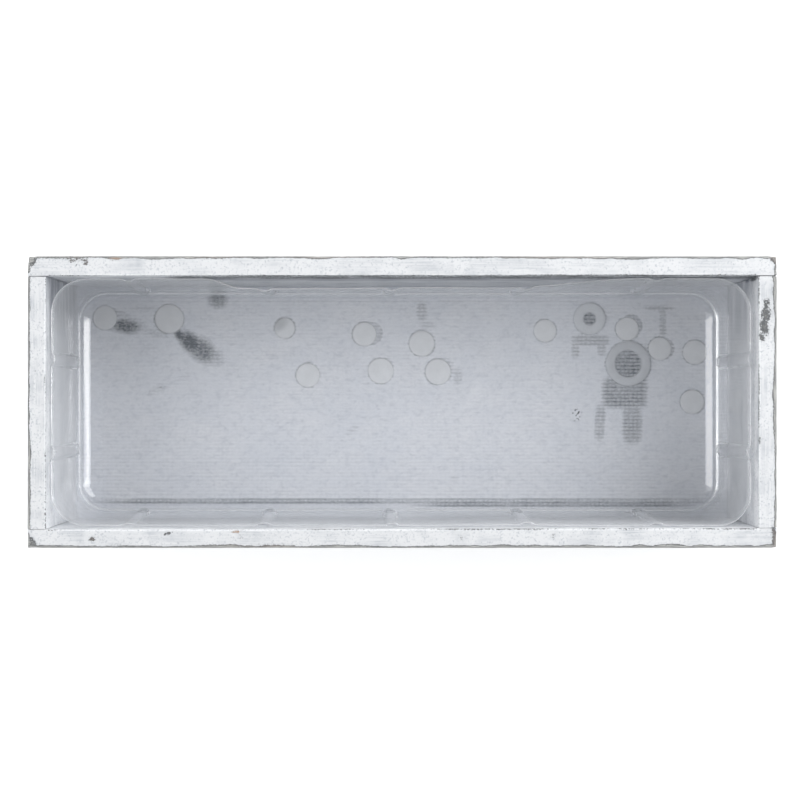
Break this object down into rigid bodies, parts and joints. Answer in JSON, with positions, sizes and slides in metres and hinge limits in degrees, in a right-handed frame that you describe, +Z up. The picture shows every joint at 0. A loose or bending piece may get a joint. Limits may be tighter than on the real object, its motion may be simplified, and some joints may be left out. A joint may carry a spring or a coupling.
{
  "type": "planter box with liner",
  "caption": "Long rectangular planter box of butt-jointed whitewashed boards on a grooved-in hardboard floor, with a clear ribbed plastic liner that lifts out.",
  "frame": {"origin": "centre of the box's footprint on the surface that it stands on", "axes": "+X along the length, +Y towards the back board, +Z up"},
  "size_m": [0.4, 0.156, 0.11],
  "materials": {
    "whitewashed_wood": "thin white wash, worn through to grey wood at the edges",
    "painted_hardboard": "mesh-textured hardboard under a thin pale blue-grey coat",
    "disc_plastic": "smooth, under the same pale coat as the panel",
    "painted_rings": "flat washers under the same pale coat as the panel",
    "clear_liner": "clear, glossy, slightly wavy thermoformed sheet",
    "brad_steel": "bright wire"
  },
  "bodies": {
    "wooden_box": {"front_board": "whitewashed_wood", "back_board": "whitewashed_wood", "left_end_board": "whitewashed_wood", "right_end_board": "whitewashed_wood", "floor_panel": "painted_hardboard", "floor_discs": "disc_plastic", "small_ring": "painted_rings", "large_ring": "painted_rings", "corner_brads": "brad_steel"},
    "removable_liner": {"liner": "clear_liner"}
  },
  "joints": [
    {"name": "liner_lift", "type": "slide", "parent": "wooden_box", "child": "removable_liner", "axis": [0, 0, 1], "range_m": [0, 0.12]}
  ]
}
